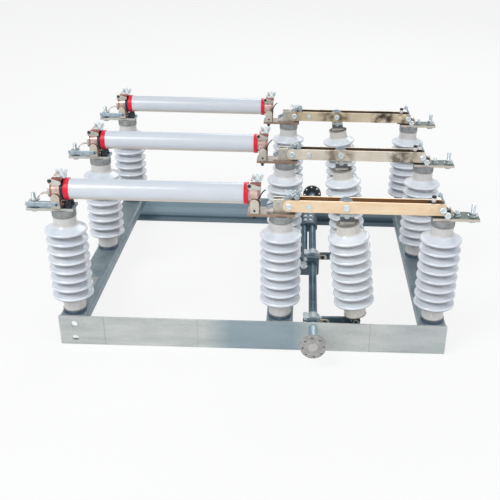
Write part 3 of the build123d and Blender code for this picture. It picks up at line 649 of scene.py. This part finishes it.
# Small shapes that are set in many places, built round the origin and standing along Z.
# disk: radius, from, to, sides; hex: radius, height, from, spin; thread: radius, from, to, pitch, sides
formMakers = {"turned": turnedForm, "disk": diskForm, "hex": hexForm, "thread": threadForm}
cementLows = (99.6, 369.8)  # the rings' undersides
ringProfiles = [[(0, low), (30.4, low), (30.9, low + 1.2), (30.2, low + 2.4), (0, low + 2.4)]
                for low in cementLows]
rib = {"count": 6, "pitch": 4.6, "length": 17.5, "radius": 1.3, "tip": 0.91}
shapeSteps = {
    "terminalBolt": [("disk", 12.5, 0, 1.8, 32), ("hex", 10.6, 9, 1.8), ("thread", 5.8, 8, 33, 2.2, 20),
                     ("disk", 12.5, -9, -7.2, 32), ("hex", 10.6, 7, -16)],
    "smallBolt": [("disk", 9.5, 0, 1.5, 28), ("hex", 8.2, 7, 1.5), ("thread", 4.6, 7, 16, 2, 18)],
    "postStud": [("disk", 11, 0, 1.5, 28), ("hex", 9.4, 8, 1.5), ("hex", 9.2, 5.5, 9.6, 0.4),
                 ("thread", 5, 14, 25, 2, 18)],
    "lipScrew": [("disk", 4.9, 0, 0.8, 20), ("hex", 4, 3.4, 0.8)],
    "hubBolt": [("disk", 6.8, 0, 1.1, 24), ("hex", 5.6, 4.4, 1.1)],
    "contactBolt": [("turned", [(0, 0), (5, 0), (5, 6), (8.8, 6), (8.8, 7.2), (0, 7.2)], 28),
                    ("hex", 9.2, 5.4, 7.2)],
    "contactStud": [("thread", 3.6, 0.0, 48, 1.8, 18), ("hex", 6.4, 5, 42)],
    "studSleeve": [("turned", [(0, 30), (5.2, 30), (5.8, 31), (5.8, 40), (5.2, 41), (0, 41)], 24)],
    "rivet": [("turned", [(0, -0.2), (3, -0.2), (2.9, 0.6), (2.2, 1.4), (1.0, 1.9), (0, 2)], 18)],
    "plateRivet": [("turned", [(0, -0.2), (2.2, -0.2), (2.1, 0.5), (1.2, 1.1), (0, 1.3)], 16)],
    "cementRingPair": [("turned", profile, 48) for profile in ringProfiles],
    "coverRib": [("turned", [(0, 0), (rib["tip"], 0.3), (rib["radius"], 1.2),
                             (rib["radius"], rib["length"] - 1.2), (rib["tip"], rib["length"] - 0.3),
                             (0, rib["length"])], 12, (0, -rib["length"] / 2, 0), (0, 1, 0))],
    "weldLump": [("turned", [(0, -2.4), (1.5, -1.7), (2.3, -0.6), (2.3, 0.6), (1.5, 1.7), (0, 2.4)],
                  10, (0, 0, 0), (1, 0, 0))],
    "wingNut": [("turned", [(0, 0), (7.2, 0), (7.2, 2), (5.2, 9), (0, 9)], 24)],
}
leafOutline = [(3, 1.5), (9, 3), (13.2, 7), (14.8, 13), (14.2, 17.6), (11.6, 20.2), (8.6, 19.2), (6.4, 15.4),
               (4, 10.4)]
leafWall = 2.8
shapes = {}
for name, steps in shapeSteps.items():
    form = bmesh.new()
    for kind, *sizes in steps:
        formMakers[kind](form, *sizes)
    if name == "wingNut":
        flatForm(form, leafOutline, -leafWall / 2, leafWall / 2, "XZ", 0.8)
        flatForm(form, [(-a, b) for a, b in leafOutline[::-1]], -leafWall / 2, leafWall / 2, "XZ", 0.8)
    shapes[name] = closeMesh(name, form, "zincBolt")


def perPhase(xs, across=0, z=barTop):
    # the same places in each phase, counted across from its middle line
    return [(x, y + across, z) for x in xs for y in phaseY.values()]


# Bolts, nuts, rivets and pins. Each row: shape, places, surface, turn about X, spin range, seed, and body
clipPlaces = [  # middle of the strip, of the copper plates and of the wing nut of each fuse clip
    (clipX[0] + 2.4, clipX[0] + 9, clipX[0] + 19), (clipX[1] + 2.4, clipX[1] + 4, clipX[1] + 9),
]
lipScrew = {"back": 14.5, "z": 473.2}  # behind the middle of the copper plates
postX = (-488, 72.5, 488)
shaftX, shaftZ = 164, 74.5
stripX, plateX, nutX = zip(*clipPlaces)
hubX, hubLow, hubHigh = shaftX - 21, shaftZ - 10, shaftZ + 10
placed = {
    # standing bolts at both ends of each phase, and smaller ones beside them
    "terminalBolts": ("terminalBolt", perPhase((-561.5, 561.5)), "zincBolt", 0, 1.0, 4),
    "contactBarBolts": ("smallBolt", perPhase([521]), "zincBolt", 0, 1.0, 7),
    "outerBarNuts": ("smallBolt", perPhase([-566.4], 14), "zincBolt", 0, 1.0, 14),
    # on the fuse posts and clips
    "fusePostBolts": ("postStud", perPhase([-472], -13) + perPhase([-472], 13), "blackBolt", 0, 1.0, 9),
    "clipFootNuts": ("smallBolt", perPhase(clipX[1:], 0, barTop - 7), "blackBolt", 180, 1.0, 11),
    "wingNuts": ("wingNut", perPhase(nutX, 0, 476), "brightZinc", 0, 0.35, 3),
    "lipScrews": ("lipScrew", perPhase([x - lipScrew["back"] for x in plateX], -29.4, lipScrew["z"]),
                   "blackBolt", 90, 1.0, 5),
    "strapRivetsFront": ("rivet", perPhase(stripX, -29.6, 407), "blackBolt", 90),
    "strapRivetsBack": ("rivet", perPhase(stripX, 29.6, 407), "blackBolt", -90),
    "tiePins": ("rivet", perPhase([-495], -32.6, 411), "blackBolt", 90),
    # at the corners of the bare plates, and where porcelain meets metal
    "plateRivets": ("plateRivet", [(x + dx, -247 + dy, 91.5) for x in (postX[0], postX[2])
                                   for dx in (-15, 15) for dy in (-27, 27)], "zincBolt"),
    "cementRings": ("cementRingPair", perPhase(postX, 0, 0), "cement"),
    # on the turning shaft: hubs, tube clamps, end plate and lugs
    "hubBoltsFront": ("hubBolt", perPhase([hubX], -15, hubHigh) + perPhase([hubX], -15, hubLow), "zincBolt",
                      90, 1.0, 2, "shaft"),
    "hubBoltsBack": ("hubBolt", perPhase([hubX], 15, hubHigh) + perPhase([hubX], 15, hubLow), "zincBolt",
                     -90, 1.0, 6, "shaft"),
    "tubeClampBolts": ("hubBolt", [(shaftX + dx, y, shaftZ + 16.5) for y in (245, 280, 315)
                                   for dx in (-24, -6)], "zincBolt", 0, 1.0, 8, "shaft"),
    "endPlateBolt": ("hubBolt", [(shaftX - 23, -60, shaftZ + 17)], "zincBolt", 90, 0.0, 1, "shaft"),
    "lugBolts": ("hubBolt", perPhase([shaftX + 32], -9, shaftZ), "blackBolt", 90, 1.0, 10, "shaft"),
    # through the fixed contacts
    "contactBoltsFront": ("contactBolt", perPhase([494.5], -12.6, 403.5), "brightZinc", 90, 1.0, 12),
    "contactBoltsBack": ("contactBolt", perPhase([494.5], 12.6, 403.5), "brightZinc", -90, 1.0, 12),
    "contactStuds": ("contactStud", perPhase([459], 0, 402), "blackBolt", 0, 1.0, 13),
    "studSleeves": ("studSleeve", perPhase([459], 0, 402), "whiteSleeve"),
}
for name, (shape, points, *rest) in placed.items():
    repeatShape(name, shapes[shape], points, *rest)
print("bolts and rivets placed")

# Rows: ribs pressed into the copper plates, and weld beads where the cross channels meet the long ones
plateTop = 476.4
repeatShape("coverRibs", shapes["coverRib"], perPhase([x + 0.5 for x in plateX], -17.2, plateTop - 0.3),
            "bareCopper", count=rib["count"], pitch=rib["pitch"])
weld = {"count": 24, "pitch": 3, "y": 440.6, "z": 89}
weldSpots = [(x, sign * weld["y"], weld["z"]) for x in postX for sign in (-1, 1)]
repeatShape("frameWelds", shapes["weldLump"], weldSpots, "weldMetal", 0, 0.6, 21,
            count=weld["count"], pitch=weld["pitch"])
for item in shapes.values():
    bpy.data.objects.remove(item)
print("rows placed")

# Fuse clips, in place of the plain ones: strip wrapped round the ferrule, round-topped straps, lips,
# copper plates, and a threaded screw for the wing nut
clip = {
    "half": 12.6, "wall": 2.4, "wrap": 24, "axis": 443,
    "strapHalf": 11.2, "strapTop": 437, "strapIn": 25.8, "strapOut": 29.6, "footTop": barTop + 2.6,
    "lipIn": 27.2, "lipOut": 29.4, "lipLow": 462.5, "lipBend": 465, "lipTop": 472.4, "boss": 6.4,
    "plateIn": 7.5, "plateOut": 27.1, "plateLow": 472.6,
    "bridgeHalf": 8.5, "bridgeLow": 472.8, "bridgeTop": 475.9, "screw": 3.6, "screwLow": 474, "screwTop": 496.5,
}
wrapPath = [(27.4, 470.6), (24.6, 466), (20.8, 461.6)]
wrapPath += arcPoints(0, clip["axis"], clip["wrap"], range(32, -39, -14))
wrapPath += [(17, 422.5), (16.6, 416), (16.6, 405.5), (15.2, 402.2), (12, 400.9)]
wrapPath += [(-across, z) for across, z in reversed(wrapPath)]
jawForm, strapForm, lipForm, plateForm, backForm, bridgeForm = [bmesh.new() for _ in range(6)]
for middle, plateAt, nutAt in clipPlaces:
    left, right = middle - clip["strapHalf"], middle + clip["strapHalf"]
    crown = arcPoints(middle, clip["strapTop"] - clip["strapHalf"], clip["strapHalf"], range(0, 181, 15))
    boss = arcPoints(plateAt - lipScrew["back"], lipScrew["z"], clip["boss"], range(40, 221, 30))
    lipEnd = [(10.5, clip["lipLow"]), (13, clip["lipBend"]), (13, clip["lipTop"])]
    lipFront = [(plateAt + across, z) for across, z in lipEnd]
    lip = lipFront + boss + [(plateAt - 15, clip["lipLow"])]
    plainLip = lipFront + [(plateAt - across, z) for across, z in lipEnd[::-1]]
    for y in phaseY.values():
        section = [(y + across, z) for across, z in stripOutline(wrapPath, clip["wall"])]
        flatForm(jawForm, section, middle - clip["half"], middle + clip["half"], "YZ", 0.4)
        for sign in (-1, 1):
            flatForm(strapForm, [(left, barTop), (right, barTop)] + crown, y + sign * clip["strapIn"],
                     y + sign * clip["strapOut"], "XZ", 0.7)
            flatForm(lipForm, lip if sign < 0 else plainLip, y + sign * clip["lipIn"],
                     y + sign * clip["lipOut"], "XZ", 0.8)
            near, far = sorted((y + sign * clip["plateIn"], y + sign * clip["plateOut"]))
            slabForm(plateForm if sign < 0 else backForm, (plateAt - 13.5, near, clip["plateLow"]),
                     (plateAt + 14.5, far, plateTop), 0.7)
        slabForm(strapForm, (left, y - clip["strapOut"], barTop),
                 (right, y + clip["strapOut"], clip["footTop"]), 0.5)
        slabForm(bridgeForm, (plateAt - 8, y - clip["bridgeHalf"], clip["bridgeLow"]),
                 (nutAt + clip["bridgeHalf"], y + clip["bridgeHalf"], clip["bridgeTop"]), 0.6)
        threadForm(bridgeForm, clip["screw"], clip["screwLow"], clip["screwTop"], 1.9, 18, (nutAt, y, 0))
addPiece("clipJaws", jawForm, "tinnedStrip", replaced=["clip_jaws"])
addPiece("clipStraps", strapForm, "creamPlate", replaced=["clip_straps"])
addPiece("clipLips", lipForm, "silverPlate")
addPiece("clipPlates", plateForm, "bareCopper", replaced=["clip_covers"])
addPiece("clipBackPlates", backForm, "creamPlate")
addPiece("clipBridges", bridgeForm, "brightZinc")

# Red bands, dark rings of painted shade that close the tube ends, and the white tube between an inner band and
# its clip
band = {"radius": 28.3, "places": ((-477, -463.8), (-22.4, -10.6)), "shadeRing": (-485.2, -476.9),
        "shadeRingRadius": 27, "sleeve": (-30.2, -21.8), "sleeveRadius": 26.53, "soft": 0.9}
bandForm, shadeRingForm, sleeveForm = [bmesh.new() for _ in range(3)]
for y in phaseY.values():
    for start, end in band["places"]:
        long = end - start
        profile = [(0, 0), (band["radius"] - 0.8, 0), (band["radius"], band["soft"]),
                   (band["radius"], long - band["soft"]), (band["radius"] - 0.8, long), (0, long)]
        turnedForm(bandForm, profile, 64, (start, y, clip["axis"]), (1, 0, 0))
    start, end = band["shadeRing"]
    profile = [(0, 0), (band["shadeRingRadius"] - 1.4, 0), (band["shadeRingRadius"], 1.4),
               (band["shadeRingRadius"], end - start), (0, end - start)]
    turnedForm(shadeRingForm, profile, 64, (start, y, clip["axis"]), (1, 0, 0))
    diskForm(sleeveForm, band["sleeveRadius"], *band["sleeve"], 64, (0, y, clip["axis"]), (1, 0, 0))
addPiece("redBands", bandForm, "redEnamel", replaced=["fuse_end_bands"])
# painted shade: a dark ring on each tube end, in the black bolts' surface
addPiece("tubeCollars", shadeRingForm, "blackBolt")
addPiece("tubeSleeves", sleeveForm, "fusePorcelain")

# Light ties from the outer terminal bolts to the straps, and arched strips above them
tie = {"startX": -574, "pinX": -495, "pinZ": 411, "half": 6, "face": 32.6,
       "slabEndX": -549, "slabNear": -31, "slabFar": 10, "slabLow": 407.6, "slabTop": 410}
arch = {"path": [(-569, 411.2), (-556, 411.3), (-551.5, 413.5), (-547.5, 421.5), (-541, 428), (-531, 430.8),
                 (-510, 431)], "wall": 1.8, "half": 6}
tieForm, archForm = bmesh.new(), bmesh.new()
for y in phaseY.values():
    outline = [(tie["startX"], tie["pinZ"] - tie["half"])]
    outline += arcPoints(tie["pinX"], tie["pinZ"], tie["half"], range(-90, 91, 30))
    outline += [(tie["startX"], tie["pinZ"] + tie["half"])]
    flatForm(tieForm, outline, y - tie["face"], y - clip["strapOut"], "XZ", 0.8)
    slabForm(tieForm, (tie["startX"], y + tie["slabNear"], tie["slabLow"]),
             (tie["slabEndX"], y + tie["slabFar"], tie["slabTop"]), 0.6)
    outline = stripOutline(arch["path"], arch["wall"])
    flatForm(archForm, outline, y - arch["half"], y + arch["half"], "XZ", 0.3)
addPiece("outerTies", tieForm, "zincLink")
addPiece("archedStrips", archForm, "tinnedPlate")
print("clips and ties made")

# Blade bolts, in place of the plain ones: shank, washers, hexagon head, nut and thread end
bolt = {"places": ((92, 6, 9.24), (142.5, 4.5, 6.72), (237.5, 6, 9.24), (482, 5, 9.408)),  # x, shank, head
        "face": 18, "headHeight": 4.6, "washer": 1.2}
for phase, y in phaseY.items():
    form = bmesh.new()
    for order, (x, radius, head) in enumerate(bolt["places"]):
        middle = (x, y, pivotZ)
        diskForm(form, radius, -bolt["face"], bolt["face"], 28, middle, (0, 1, 0))
        for sign in (-1, 1):
            start = (x, y + sign * bolt["face"], pivotZ)
            diskForm(form, head * 0.97, 0, bolt["washer"], 28, start, (0, sign, 0))
            hexForm(form, head, bolt["headHeight"], bolt["washer"], 0.3 + 0.5 * order, start, (0, sign, 0))
        end = bolt["face"] + bolt["washer"] + bolt["headHeight"] - 0.6
        threadForm(form, radius * 0.85, end, end + 3.4, 1.3, 18, middle, (0, 1, 0))
    addPiece("bladeBolts_" + phase, form, "brightZinc", "blade_" + phase, ["blade_bolts_" + phase])
print("blade bolts made")

# On each insulated rod: low cheek bolt, fork washers, split pins and cement rings
rod = {"foot": Vector((281, 0.0, 78.5)), "top": Vector((237.5, 0.0, 417)), "cheek": 9.6, "boltDown": 27}
rodAxis = (rod["top"] - rod["foot"]).normalized()
for phase, y in phaseY.items():
    foot = rod["foot"] + Vector((0, y, 0))
    spot = rod["top"] + Vector((0, y, 0)) - rodAxis * rod["boltDown"]
    form = bmesh.new()
    for sign in (-1, 1):
        start = spot + Vector((0, sign * rod["cheek"], 0))
        diskForm(form, 7.4, -0.2, 0.6, 24, start, (0, sign, 0))
        hexForm(form, 6.4, 2.2, 0.6, 0.4, start, (0, sign, 0))
        diskForm(form, 8, 0, 1.3, 24, foot + Vector((0, sign * 11, 0)), (0, sign, 0))
        splitPin = foot + Vector((-8.5, sign * 13.4, 0))
        turnedForm(form, [(0, 0), (1.0, 0.3), (1.0, 16.7), (0, 17)], 10, splitPin, (1, 0, 0))
    addPiece("rodFittings_" + phase, form, "zincBolt", "rod_" + phase)
    form = bmesh.new()
    for low in (22, 290.6):
        profile = [(0, low), (30.2, low), (30.8, low + 1.2), (30.2, low + 2.4), (0, low + 2.4)]
        turnedForm(form, profile, 48, foot, rodAxis)
    addPiece("rodCement_" + phase, form, "cement", "rod_" + phase)

# Between the blades: coil springs round the hinge links' cross blocks (coarser than the real wire) and bent
# leaf springs over the hinge; and the dark hooks on the inner clips
spring = {"x": 112, "z": 438, "near": 3, "far": 12.3, "radius": 7.4, "pitch": 3}
leafPath = [(113, 441.5), (107, 449.5), (100.5, 443.5), (94.5, 451), (88, 445), (82.5, 451), (78, 447)]
hookPath = [(15.5, 432), (18.5, 443), (22, 452), (27, 459.5), (34, 465)]
coilForm, leafForm, hookForm = [bmesh.new() for _ in range(3)]
for y in phaseY.values():
    for sign in (-1, 1):
        threadForm(coilForm, spring["radius"], spring["near"], spring["far"], spring["pitch"], 24,
                   (spring["x"], y, spring["z"]), (0, sign, 0))
    for near, far in ((-12.3, -7.3), (7.3, 12.3)):
        flatForm(leafForm, stripOutline(leafPath, 1.9), y + near, y + far, "XZ", 0.3)
    flatForm(hookForm, stripOutline(hookPath, 2.4), y - 29.4, y - 27, "XZ", 0.5)
addPiece("hingeSprings", coilForm, "zincLink")
addPiece("hingeLeafSprings", leafForm, "brightZinc", slotName="zinc_link")
addPiece("clipHooks", hookForm, "blackBolt")

# On the turning shaft: caps on the side tube's ends, and a lug on each crank
tube = {"x": 136.5, "ends": ((-66, -1), (335, 1)),
        "cap": [(0, -0.2), (12.6, -0.2), (12.6, 0.9), (11.4, 1.6), (7, 2.2), (0, 2.5)]}
lug = {"start": 19, "end": 45, "half": 8.5, "near": 9, "far": 4}
capForm, lugForm = bmesh.new(), bmesh.new()
for y, sign in tube["ends"]:
    turnedForm(capForm, tube["cap"], 36, (tube["x"], y, shaftZ), (0, sign, 0))
for y in phaseY.values():
    outline = [(shaftX + across, shaftZ + rise) for across, rise in (
        (lug["start"], -lug["half"]), (lug["end"] - 5, -lug["half"]), (lug["end"], -4), (lug["end"], 4),
        (lug["end"] - 5, lug["half"]), (lug["start"], lug["half"]))]
    flatForm(lugForm, outline, y - lug["near"], y - lug["far"], "XZ", 0.8)
addPiece("tubeEndCaps", capForm, "zincBolt", "shaft")
addPiece("crankLugs", lugForm, "tinnedPlate", "shaft")
print("rod and shaft fittings made")

# Fixed contacts: low end plate, and the slanted strip with its screw
slant = {"path": [(476, 449), (483, 434), (489.5, 419), (492, 403)], "wall": 5.5, "half": 3.2,
         "screwX": 474.6, "screwZ": 448, "screwAxis": (-0.35, 0, 1)}
endPlate = {"half": 16, "top": 416, "corner": 3, "startX": 503, "endX": 506.5}
endForm, slantForm = bmesh.new(), bmesh.new()
for y in phaseY.values():
    half, top, corner = endPlate["half"], endPlate["top"], endPlate["corner"]
    outline = [(y - half, barTop), (y + half, barTop), (y + half, top - corner), (y + half - corner, top),
               (y - half + corner, top), (y - half, top - corner)]
    flatForm(endForm, outline, endPlate["startX"], endPlate["endX"], "YZ", 0.6)
    outline = stripOutline(slant["path"], slant["wall"])
    flatForm(slantForm, outline, y - slant["half"], y + slant["half"], "XZ", 0.6)
    screw = (slant["screwX"], y, slant["screwZ"])
    hexForm(slantForm, 6.6, 6, 0.0, 0.3, screw, slant["screwAxis"])
    threadForm(slantForm, 3.2, 5, 10.5, 1.6, 14, screw, slant["screwAxis"])
addPiece("contactEndPlates", endForm, "creamPlate")
addPiece("contactSlants", slantForm, "zincLink")
print("contact fittings made")

# Pale floor, world and soft studio lamps
studio = {"floor": "F4F5F6", "floorShare": 0.84, "worldTint": "F3F6FA", "worldLight": 0.42}
lamps = {  # place in metres, power in watts, size in metres
    "keyLamp": ((-2.2, -2.8, 3.4), 112.0, 2.4), "fillLamp": ((3.2, -2.0, 2.2), 34.0, 2.6),
    "backLamp": ((0.6, 3.2, 3.0), 42.0, 2.6),
}
white = (1.0, 1.0, 1.0, 1.0)


def seenShare(tree):
    # 1 for what the camera sees straight, in a gloss or through glass
    path = addNode(tree, "ShaderNodeLightPath").outputs
    share = path["Is Camera Ray"]
    for label in ("Is Glossy Ray", "Is Transmission Ray"):
        share = addNode(tree, "ShaderNodeMath", {0: share, 1: path[label]}, operation="MAXIMUM").outputs[0]
    return share


floorMesh = bmesh.new()
bmesh.ops.create_grid(floorMesh, x_segments=8, y_segments=8, size=20.0)
floorData = bpy.data.meshes.new("studioFloor")
floorMesh.to_mesh(floorData)
floorMesh.free()
floor = newObject("studioFloor", floorData)
paper = bpy.data.materials.new("studioPaper")  # matt white paper sweep
tree = clearTree(paper)
share = addNode(tree, "ShaderNodeMath", {0: seenShare(tree), 1: studio["floorShare"]}, operation="MULTIPLY")
matt = addNode(tree, "ShaderNodeBsdfDiffuse", {"Color": linearColor(studio["floor"])})
glow = addNode(tree, "ShaderNodeEmission", {"Color": white, "Strength": 1.0})
both = addNode(tree, "ShaderNodeMixShader", {0: share.outputs[0], 1: matt.outputs[0], 2: glow.outputs[0]})
addNode(tree, "ShaderNodeOutputMaterial", {"Surface": both.outputs[0]})
floorData.materials.append(paper)

world = bpy.data.worlds.new("studioWorld")
bpy.context.scene.world = world
tree = clearTree(world)
soft = addNode(tree, "ShaderNodeBackground", {
    "Color": linearColor(studio["worldTint"]), "Strength": studio["worldLight"],
})
plain = addNode(tree, "ShaderNodeBackground", {"Color": white, "Strength": 1.0})
both = addNode(tree, "ShaderNodeMixShader", {0: seenShare(tree), 1: soft.outputs[0], 2: plain.outputs[0]})
addNode(tree, "ShaderNodeOutputWorld", {"Surface": both.outputs[0]})

for name, (place, power, size) in lamps.items():
    lampData = bpy.data.lights.new(name, "AREA")
    lampData.energy = power
    lampData.size = size
    lamp = newObject(name, lampData)
    aim = Vector((0.0, 0.0, 0.25)) - Vector(place)
    lamp.matrix_world = Matrix.Translation(Vector(place)) @ aim.to_track_quat("-Z", "Y").to_matrix().to_4x4()
bpy.context.scene.view_settings.view_transform = "Standard"
print("studio set")
